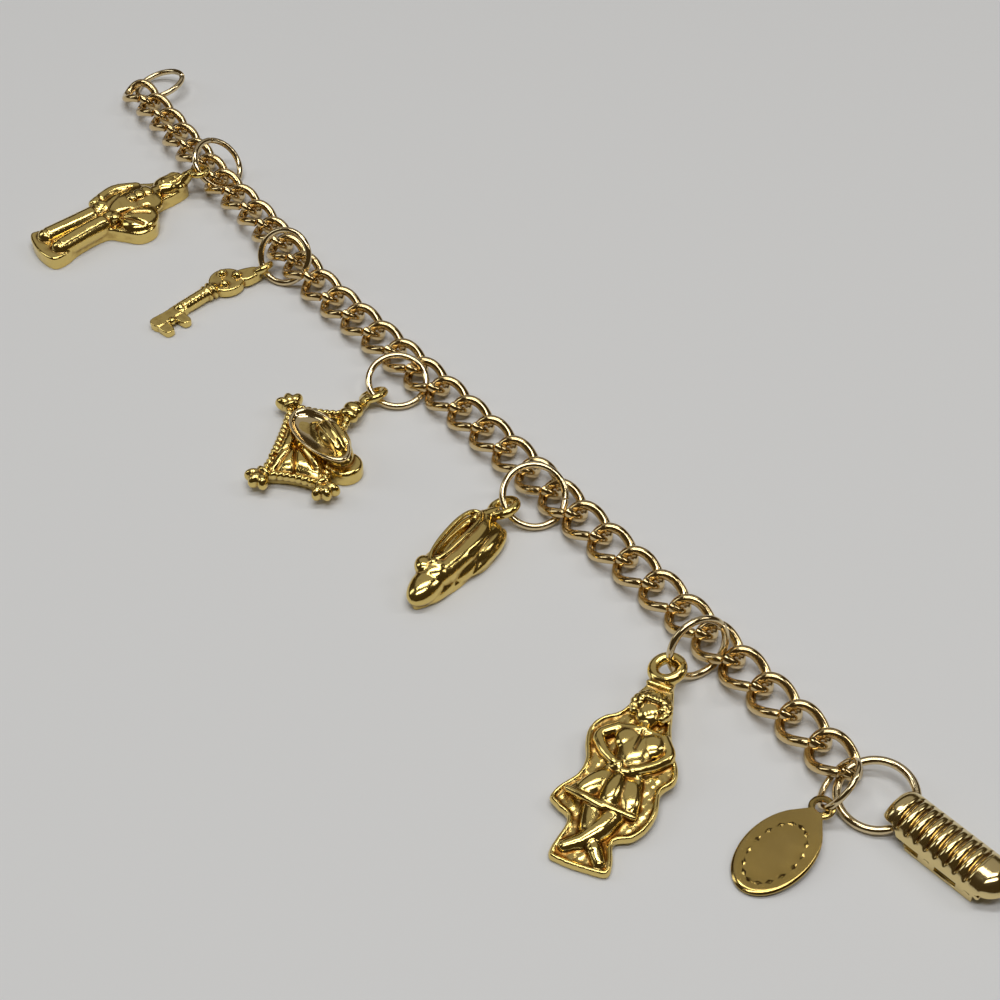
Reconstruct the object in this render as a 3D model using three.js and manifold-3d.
// A curb-chain charm bracelet, unfastened and laid out on a table.
// Millimetres, +Z up. The chain runs along X, from the free ring (-X) to the fold-over clasp (+X),
// and the charms lie on its -Y side. The origin is under the middle of the whole bracelet.
import * as THREE from 'three';
import { mergeVertices } from 'three/addons/utils/BufferGeometryUtils.js';
import Module from 'manifold-3d';

const wasm = await Module();
wasm.setup();

// ---------------------------------------------------------------- driving sizes
const TABLE_GAP = 0.03;        // every piece stays this far above the table
const LINK = { count: 34, pitch: 4.58, halfLength: 2.92, halfWidth: 2.25, wire: 0.5, twist: 42, squareness: 2.2 };
const ROLLED_FROM = 23;        // from this link on the chain leans a little
const ROLL_ANGLE = -10;

// The chain's slow sway: how far it lies aside of the X axis, by the distance from the first link.
const SWAY = [
  { along: 0, aside: 0.0 }, { along: 27, aside: -0.05 }, { along: 42, aside: -0.45 },
  { along: 57, aside: -0.75 }, { along: 72, aside: -1.25 }, { along: 87, aside: -2.05 },
  { along: 98, aside: -2.6 }, { along: 107, aside: -2.2 }, { along: 116, aside: -1.6 },
  { along: 126, aside: -1.7 }, { along: 136, aside: -1.15 }, { along: 146, aside: -0.5 },
  { along: 156, aside: -0.3 },
];

// Jump rings: centre from the first link, lean of the ring's axis from +Z and the way it leans.
const RINGS = [
  { name: 'free_ring', x: -152.5, y: 3.4, z: 1.5, radius: 3.6, wire: 0.38, lean: 15.7, way: -135 },
  { name: 'figure_ring', x: -127.24, y: -0.63, z: 3.02, radius: 3.6, wire: 0.36, lean: 44.5, way: 25 },
  { name: 'key_ring', x: -103.06, y: -4.0, z: 3.3, radius: 3.5, wire: 0.37, lean: 53.4, way: -59 },
  { name: 'cushion_ring', x: -74.83, y: -4.62, z: 1.79, radius: 3.6, wire: 0.37, lean: 21, way: -28 },
  { name: 'shoe_ring', x: -47.83, y: -3.23, z: 2.58, radius: 3.7, wire: 0.37, lean: 34.3, way: -25 },
  { name: 'dancer_ring', x: -18.06, y: -3.37, z: 3.87, radius: 3.5, wire: 0.37, lean: 75.6, way: -7.7 },
  { name: 'tag_ring', x: 3.42, y: -2.7, z: 2.87, radius: 2.9, wire: 0.3, lean: 58, way: -148 },
  { name: 'clasp_ring', x: 5.88, y: 0.42, z: 1.27, radius: 4.0, wire: 0.42, lean: 10.2, way: -80 },
];

// Charms: the eye's centre, the way the charm points from it, and how far it dips to the table.
const CHARMS = {
  figure: { x: -129.6, y: -2.25, z: 1.25, heading: -81.7, dip: 0 },
  key: { x: -104.7, y: -6.62, z: 1.38, heading: -80, dip: 2 },
  cushion: { x: -74.8, y: -8.2, z: 1.22, heading: -85, dip: 0 },
  shoe: { x: -48.8, y: -6.9, z: 1.95, heading: -74, dip: 0 },
  dancer: { x: -18.4, y: -7.0, z: 3.1, heading: -61, dip: 5 },
  tag: { x: 4.0, y: -5.4, z: 1.95, heading: -81, dip: 5.8 },
};
const CLASP = { x: 9.5, y: 1.0, heading: 7 };

const gold = (name, color, roughness) => new THREE.MeshStandardMaterial({ name, color, roughness, metalness: 1 });
const chainGold = gold('chain_gold', 0xb8954e, 0.25);
const ringGold = gold('ring_gold', 0xc0a878, 0.22);
const charmGold = gold('charm_gold', 0xd9a93a, 0.2);
const claspGold = gold('clasp_gold', 0xcfb46a, 0.18);

const RAD = Math.PI / 180;
const bracelet = new THREE.Group();

function addMesh(name, geometry, material, parent = bracelet) {
  const mesh = new THREE.Mesh(geometry, material);
  mesh.name = name;
  parent.add(mesh);
  return mesh;
}

// ---------------------------------------------------------------- joining and cutting
function toSolid(geometry) {
  const bare = geometry.clone();
  for (const extra of ['normal', 'uv']) bare.deleteAttribute(extra);
  const welded = mergeVertices(bare, 1e-4);
  return new wasm.Manifold(new wasm.Mesh({
    numProp: 3,
    vertProperties: new Float32Array(welded.attributes.position.array),
    triVerts: new Uint32Array(welded.index.array),
  }));
}

function toGeometry(solid) {
  const mesh = solid.getMesh();
  const geometry = new THREE.BufferGeometry();
  geometry.setAttribute('position', new THREE.BufferAttribute(new Float32Array(mesh.vertProperties), 3));
  geometry.setIndex(new THREE.BufferAttribute(new Uint32Array(mesh.triVerts), 1));
  geometry.computeVertexNormals();
  return geometry;
}

const join = (...pieces) => toGeometry(pieces.map(toSolid).reduce((all, piece) => all.add(piece)));
const cut = (whole, ...tools) => toGeometry(tools.map(toSolid).reduce((left, tool) => left.subtract(tool), toSolid(whole)));

// ---------------------------------------------------------------- simple forms
const box = (x0, x1, y0, y1, z0, z1) =>
  new THREE.BoxGeometry(x1 - x0, y1 - y0, z1 - z0).translate((x0 + x1) / 2, (y0 + y1) / 2, (z0 + z1) / 2);

// An egg-shaped lump: a low sphere scaled to half sizes a, b, c.
const lump = (x, y, z, a, b, c, turn = 0) =>
  new THREE.SphereGeometry(1, 9, 6).scale(a, b, c).rotateZ(turn * RAD).translate(x, y, z);

// A round rod between two points, r0 thick at the first and r1 at the second.
function rod(from, to, r0, r1 = r0, sides = 7) {
  const a = new THREE.Vector3(...from);
  const b = new THREE.Vector3(...to);
  const axis = b.clone().sub(a);
  const turn = new THREE.Quaternion().setFromUnitVectors(new THREE.Vector3(0, 1, 0), axis.clone().normalize());
  return new THREE.CylinderGeometry(r1, r0, axis.length(), sides)
    .applyQuaternion(turn).translate((a.x + b.x) / 2, (a.y + b.y) / 2, (a.z + b.z) / 2);
}

// A flat blank: a smooth closed outline through [along, across] points, from z0 up to z1.
function blank(outline, z0, z1, steps = 34) {
  const curve = new THREE.CatmullRomCurve3(outline.map(([x, y]) => new THREE.Vector3(x, y, 0)), true, 'centripetal');
  const points = curve.getSpacedPoints(steps).slice(0, steps).map((p) => new THREE.Vector2(p.x, p.y));
  return new THREE.ExtrudeGeometry(new THREE.Shape(points), { depth: z1 - z0, bevelEnabled: false }).translate(0, 0, z0);
}

// The eye of a charm: a thick ring whose hole axis leans across the charm by the given angle.
const eye = (radius, wire, lean) => new THREE.TorusGeometry(radius, wire, 8, 16).rotateX(-lean * RAD);

// ---------------------------------------------------------------- chain
const swayCurve = new THREE.CatmullRomCurve3(SWAY.map((s) => new THREE.Vector3(-s.along, s.aside, 0)), false, 'centripetal');

function chainPlace(along) {
  const t = THREE.MathUtils.clamp(along / swayCurve.getLength(), 0, 1);
  const point = swayCurve.getPointAt(t);
  const tangent = swayCurve.getTangentAt(t);
  return { point, heading: Math.atan2(-tangent.y, -tangent.x) };
}

// One curb link: an oval wire whose plane turns from +twist at one end to -twist at the other.
class TwistedOval extends THREE.Curve {
  getPoint(t, target = new THREE.Vector3()) {
    const angle = 2 * Math.PI * t;
    const rounded = (value) => Math.sign(value) * Math.abs(value) ** (2 / LINK.squareness);
    const x = LINK.halfLength * rounded(Math.cos(angle));
    const y = LINK.halfWidth * rounded(Math.sin(angle));
    const turn = -LINK.twist * RAD * x / LINK.halfLength;
    return target.set(x, y * Math.cos(turn), y * Math.sin(turn));
  }
}

const LINK_STEPS = 18;
const LINK_SIDES = 6;
for (let i = 0; i < LINK.count; i += 1) {
  const { point, heading } = chainPlace(i * LINK.pitch);
  const roll = i + 1 >= ROLLED_FROM ? ROLL_ANGLE : 0;
  const geometry = new THREE.TubeGeometry(new TwistedOval(), LINK_STEPS, LINK.wire, LINK_SIDES, true);
  geometry.rotateX(roll * RAD).rotateZ(heading);
  geometry.computeBoundingBox();
  const link = addMesh(`link_${String(i + 1).padStart(2, '0')}`, geometry, chainGold);
  link.position.set(point.x, point.y, TABLE_GAP - geometry.boundingBox.min.z);
}

// ---------------------------------------------------------------- rings
for (const ring of RINGS) {
  const torus = new THREE.TorusGeometry(ring.radius, ring.wire, 6, 22);
  torus.rotateY(ring.lean * RAD).rotateZ(ring.way * RAD);
  addMesh(ring.name, torus, ringGold).position.set(ring.x, ring.y, ring.z);
}

// ---------------------------------------------------------------- charms
// Each charm is made with its eye at the origin, pointing along +X, its back at z = -z of its place.
function placeCharm(name, geometry, place) {
  const group = new THREE.Group();
  group.position.set(place.x, place.y, place.z);
  group.rotation.set(0, place.dip * RAD, place.heading * RAD, 'ZYX');
  bracelet.add(group);
  addMesh(name, geometry, charmGold, group);
}

function figureCharm({ z }) {
  const back = TABLE_GAP - z;
  const body = blank([
    [3.6, 1.0], [4.8, -1.0], [7.2, -1.7], [9.4, -3.4], [12.4, -4.3], [15.2, -3.8], [17.6, -2.4], [21.5, -2.4],
    [24.6, -3.2], [26.4, -3.4], [27.6, 0], [27.4, 3.2], [25.6, 3.7], [22.8, 3.0], [18.6, 3.0], [17.2, 4.6],
    [15.6, 6.9], [13.2, 7.1], [11.2, 5.2], [9.6, 2.9], [6.8, 2.8], [4.2, 2.4],
  ], back, back + 1.9, 44);
  const front = back + 1.9;
  return join(
    body,
    eye(1.12, 0.42, -8).translate(2.2, 2.95, 2.37),
    rod([3.2, 2.2, 2.2], [5.2, 1.2, back + 1.4], 0.6, 1.2),
    lump(6.0, 0.6, front, 2.3, 2.0, 1.3),
    lump(12.2, 1.0, front, 3.4, 2.7, 1.1),
    rod([9.4, -1.6, front], [13.4, -2.9, front], 0.8),
    rod([13.4, -2.9, front], [15.4, -0.6, front + 0.2], 0.75),
    rod([9.6, 3.0, front], [13.6, 5.5, front], 0.8),
    rod([13.6, 5.5, front], [15.6, 2.4, front + 0.2], 0.75),
    rod([15.0, -0.7, front - 0.2], [25.0, -1.2, front - 0.2], 1.1, 0.9),
    rod([15.0, 1.7, front - 0.2], [25.0, 1.6, front - 0.2], 1.1, 0.9),
    lump(25.4, -1.2, front, 1.3, 1.0, 0.9),
    lump(25.4, 1.7, front, 1.3, 1.0, 0.9),
  );
}

function keyCharm() {
  const axis = -1.7;
  const level = -0.2;
  const disc = new THREE.CylinderGeometry(2.05, 2.05, 1.1, 18).rotateX(Math.PI / 2).translate(4.9, axis, level);
  const bit = blank([[13.2, axis - 0.9], [17.2, axis - 0.9], [17.2, axis + 1.4], [13.2, axis + 1.4]], level - 0.45, level + 0.45, 16);
  return join(
    eye(1.12, 0.42, -40),
    rod([0.9, -0.3, -0.1], [3.6, -1.3, level], 0.75, 0.85),
    disc,
    lump(3.4, axis + 1.7, level, 0.8, 0.8, 0.6),
    ...[[4.0, -0.9], [4.1, 0.9], [5.9, 0.1]].map(([x, y]) => lump(x, axis + y, level + 0.5, 0.5, 0.5, 0.4)),
    rod([6.6, axis, level], [7.5, axis, level], 0.9),
    rod([7.4, axis, level], [14.0, axis, level], 0.75),
    bit,
    box(13.7, 14.8, axis + 1.0, axis + 2.6, level - 0.4, level + 0.4),
    box(15.7, 16.8, axis + 1.0, axis + 2.4, level - 0.4, level + 0.4),
  );
}

// The cushion's four corners: three carry tassels, the first is the knob by the eye.
const CUSHION_CORNERS = [[4.6, 1.2], [9.2, -4.6], [18.9, 3.0], [14.6, 9.2]];
function cushionCharm({ z }) {
  const back = TABLE_GAP - z;
  const middle = back + 1.5;
  const [knob, ...tasselled] = CUSHION_CORNERS;
  const centre = [11.8, 2.2];
  const pulled = (a, b) => [(a[0] + b[0]) / 2 * 0.94 + centre[0] * 0.06, (a[1] + b[1]) / 2 * 0.94 + centre[1] * 0.06];
  const outline = CUSHION_CORNERS.flatMap((corner, i) => [corner, pulled(corner, CUSHION_CORNERS[(i + 1) % 4])]);
  const ropes = CUSHION_CORNERS.map((corner, i) => {
    const next = CUSHION_CORNERS[(i + 1) % 4];
    return rod([...corner, middle], [...next, middle], 0.7);
  });
  const tassels = tasselled.map(([x, y]) => {
    const away = Math.atan2(y - centre[1], x - centre[0]);
    const reach = (turn, far) => [x + far * Math.cos(away + turn), y + far * Math.sin(away + turn)];
    return [lump(...reach(0, 1.5), middle, 0.95, 0.95, 0.85), lump(...reach(1.1, 0.9), middle, 0.8, 0.8, 0.8),
      lump(...reach(-1.1, 0.9), middle, 0.8, 0.8, 0.8)];
  }).flat();
  return join(
    blank(outline, back, back + 2.2, 32),
    ...ropes,
    lump(...centre, back + 2.0, 5.6, 4.0, 1.3, 38),
    eye(1.15, 0.4, -42),
    rod([0.9, 0.1, 0], [knob[0], knob[1], middle - 0.2], 0.8, 1.3),
    ...tassels,
    lump(10.3, 4.2, back + 3.2, 2.6, 5.0, 0.7, -8),
    lump(10.0, 4.4, back + 3.7, 1.5, 3.0, 1.2, -8),
    lump(11.0, 8.4, back + 1.4, 1.9, 2.4, 1.4),
  );
}

function shoeCharm({ z }) {
  const back = TABLE_GAP - z;
  const side = blank([
    [17.2, 0.6], [15.8, -1.2], [12.6, -2.9], [9.0, -3.0], [5.0, -3.6], [2.4, -2.8], [1.9, -1.0], [3.4, 1.2],
    [6.0, 2.4], [7.6, 2.5], [8.6, 1.5], [11.0, 1.8], [14.2, 1.8], [16.4, 1.2],
  ], back, back + 2.5, 40);
  const opening = lump(6.9, -1.9, back + 3.1, 3.5, 1.1, 1.9, -4);
  return cut(
    join(
      side,
      lump(14.0, 0.1, back + 2.2, 3.2, 1.7, 1.2, 8),
      lump(6.5, -1.6, back + 2.2, 4.9, 2.0, 1.1, -4),
      lump(11.6, -2.2, back + 3.0, 1.1, 1.3, 0.9),
      lump(12.2, -0.4, back + 3.0, 1.0, 1.2, 0.9),
      eye(1.25, 0.5, -38),
      rod([1.1, -0.3, -0.2], [3.0, -1.2, back + 1.5], 0.8, 1.1),
    ),
    opening,
  );
}

function dancerCharm() {
  const outline = [
    [1.3, -0.9], [2.6, -1.1], [5.4, -2.0], [7.4, -2.6], [8.7, -4.0], [10.4, -4.7], [12.4, -4.3], [14.2, -3.5], [16.3, -3.5],
    [17.7, -4.6], [19.7, -4.8], [20.6, -3.4], [21.8, -2.2], [25.4, -2.4], [26.2, -0.6], [26.1, 1.6], [25.6, 4.0],
    [24.2, 3.8], [22.1, 3.1], [21.0, 4.7], [19.3, 5.6], [17.2, 5.8], [14.9, 5.3], [13.2, 6.0], [11.6, 6.0],
    [10.2, 5.0], [7.7, 3.6], [4.6, 2.2], [2.5, 1.4], [1.3, 1.0],
  ];
  const back = -0.75;
  const front = 0.35;
  return join(
    blank(outline, back, front, 56),
    eye(1.3, 0.52, -12),
    lump(5.9, 0.3, front, 1.9, 1.8, 1.2),
    lump(10.2, 0.4, front, 2.6, 3.0, 0.9),
    rod([8.8, -2.4, front], [11.8, -3.3, front], 0.6),
    rod([11.8, -3.3, front], [13.2, -1.2, front + 0.2], 0.55),
    rod([8.6, 2.9, front], [11.4, 4.3, front], 0.6),
    rod([11.4, 4.3, front], [13.0, 2.2, front + 0.2], 0.55),
    rod([12.6, 0.5, front], [18.4, 0.6, front], 1.3, 3.2, 10).scale(1, 1, 0.45).translate(0, 0, front * 0.55),
    rod([18.0, -0.6, front], [24.6, 2.2, front - 0.1], 0.9, 0.6),
    rod([18.0, 1.8, front], [24.4, -1.0, front - 0.1], 0.9, 0.6),
  );
}

function ovalTag() {
  const thick = 0.5;
  const plate = new THREE.CylinderGeometry(1, 1, thick, 32).rotateX(Math.PI / 2).scale(5.6, 3.55, 1).translate(7.0, 0, -0.3);
  const neck = new THREE.CylinderGeometry(1.45, 1.45, thick, 18).rotateX(Math.PI / 2).translate(0.2, 0, -0.3);
  const bridge = box(0.6, 2.6, -1.1, 1.1, -0.3 - thick / 2, -0.3 + thick / 2);
  const hole = new THREE.CylinderGeometry(0.85, 0.85, 3, 16).rotateX(Math.PI / 2);
  return cut(join(plate, neck, bridge), hole);
}

placeCharm('figure_charm', figureCharm(CHARMS.figure), CHARMS.figure);
placeCharm('key_charm', keyCharm(), CHARMS.key);
placeCharm('cushion_charm', cushionCharm(CHARMS.cushion), CHARMS.cushion);
placeCharm('shoe_charm', shoeCharm(CHARMS.shoe), CHARMS.shoe);
placeCharm('dancer_charm', dancerCharm(), CHARMS.dancer);
placeCharm('tag', ovalTag(), CHARMS.tag);

// ---------------------------------------------------------------- fold-over clasp
// Made pointing along +X from the loop that holds the clasp ring; the cover turns on the pin at the far end.
const clasp = new THREE.Group();
clasp.position.set(CLASP.x, CLASP.y, 0);
clasp.rotation.z = CLASP.heading * RAD;
bracelet.add(clasp);
const PIN = { x: 10.6, z: 1.4, radius: 0.32, hole: 0.42 };
const COVER = { x0: -1.4, halfWidth: 2.65, rim: 0.95, top: 3.45, wall: 0.45 };
const FLUTES = 10;

function acrossRod(x, z, radius, halfWidth, sides = 16) {
  return new THREE.CylinderGeometry(radius, radius, 2 * halfWidth, sides).translate(x, 0, z);
}

// The arch: half an ellipse in section, with round flutes along its length.
function archSolid(halfWidth, rim, top, x0, x1, fluted) {
  const around = 12;
  const along = fluted ? FLUTES * 4 : 1;
  const points = [];
  const index = [];
  for (let i = 0; i <= along; i += 1) {
    const s = i / along;
    const swell = fluted ? 0.22 * Math.abs(Math.sin(s * FLUTES * Math.PI)) - 0.11 : 0;
    for (let j = 0; j <= around; j += 1) {
      const angle = Math.PI * j / around;
      const z = rim + (top - rim + swell) * Math.sin(angle) ** 0.8;
      points.push(x0 + (x1 - x0) * s, -(halfWidth + swell * Math.sin(angle)) * Math.cos(angle), z);
    }
  }
  const row = around + 1;
  for (let i = 0; i < along; i += 1) {
    for (let j = 0; j < around; j += 1) {
      const a = i * row + j;
      index.push(a, a + row + 1, a + 1, a, a + row, a + row + 1);
    }
    index.push(i * row, (i + 1) * row + around, (i + 1) * row, i * row, i * row + around, (i + 1) * row + around);
  }
  for (let j = 1; j < around; j += 1) {
    index.push(0, j, j + 1);
    const end = along * row;
    index.push(end, end + j + 1, end + j);
  }
  const geometry = new THREE.BufferGeometry();
  geometry.setAttribute('position', new THREE.Float32BufferAttribute(points, 3));
  geometry.setIndex(index);
  return geometry;
}

function claspCover() {
  const outer = archSolid(COVER.halfWidth, COVER.rim, COVER.top, COVER.x0, PIN.x, true);
  const inner = archSolid(COVER.halfWidth - COVER.wall, COVER.rim - 0.2, COVER.top - COVER.wall - 0.15, COVER.x0 - 1, PIN.x + 0.1, false);
  const lip = cut(
    acrossRod(PIN.x, PIN.z, 2.0, COVER.halfWidth - 0.35, 24),
    acrossRod(PIN.x, PIN.z, 1.5, 4, 24),
    box(PIN.x - 3, PIN.x - 0.02, -4, 4, -2, 6),
    box(PIN.x - 1, PIN.x + 3, -4, 4, -2, PIN.z + 0.55),
  );
  const cheek = (y0, y1) => join(
    acrossRod(PIN.x, PIN.z, 1.0, (y1 - y0) / 2).translate(0, (y0 + y1) / 2, 0),
    box(PIN.x - 0.9, PIN.x + 0.9, y0, y1, PIN.z, 3.0),
  );
  const pinHole = acrossRod(PIN.x, PIN.z, PIN.hole, 4);
  const shell = toGeometry(toSolid(outer).subtract(toSolid(inner)));
  const ringNotch = box(COVER.x0 - 1, 0.9, -4, 4, -1, 2.15);
  return cut(join(shell, lip, cheek(-2.55, -2.0), cheek(2.0, 2.55)), ringNotch, pinHole);
}

function claspBase() {
  const floor = box(1.6, 9.2, -2.0, 2.0, 0.05, 0.55);
  const wall = (y0, y1) => box(2.2, 9.2, y0, y1, 0.05, 1.5);
  const ear = (y0, y1) => cut(
    join(acrossRod(PIN.x, PIN.z, 0.66, (y1 - y0) / 2).translate(0, (y0 + y1) / 2, 0), box(9.0, PIN.x, y0, y1, 0.45, 1.5)),
    acrossRod(PIN.x, PIN.z, PIN.radius + 0.05, 4),
  );
  const loop = cut(acrossRod(0.4, 1.25, 1.2, 0.9, 20), acrossRod(0.4, 1.25, 0.85, 3, 16));
  const tongue = box(1.2, 2.0, -1.1, 1.1, 0.05, 0.55);
  return join(floor, wall(-2.0, -1.6), wall(1.6, 2.0), ear(-1.75, -1.25), ear(1.25, 1.75), loop, tongue);
}

addMesh('clasp_base', claspBase(), claspGold, clasp);
addMesh('clasp_cover', claspCover(), claspGold, clasp);
addMesh('hinge_pin', acrossRod(PIN.x, PIN.z, PIN.radius, 2.7, 12), claspGold, clasp);

// ---------------------------------------------------------------- origin under the middle
bracelet.updateMatrixWorld(true);
const bounds = new THREE.Box3();
bracelet.traverse((piece) => {
  if (piece.isMesh) bounds.expandByObject(piece, true);
});
const part = new THREE.Group();
bracelet.position.set(-(bounds.min.x + bounds.max.x) / 2, -(bounds.min.y + bounds.max.y) / 2, -bounds.min.z);
part.add(bracelet);

export default part;
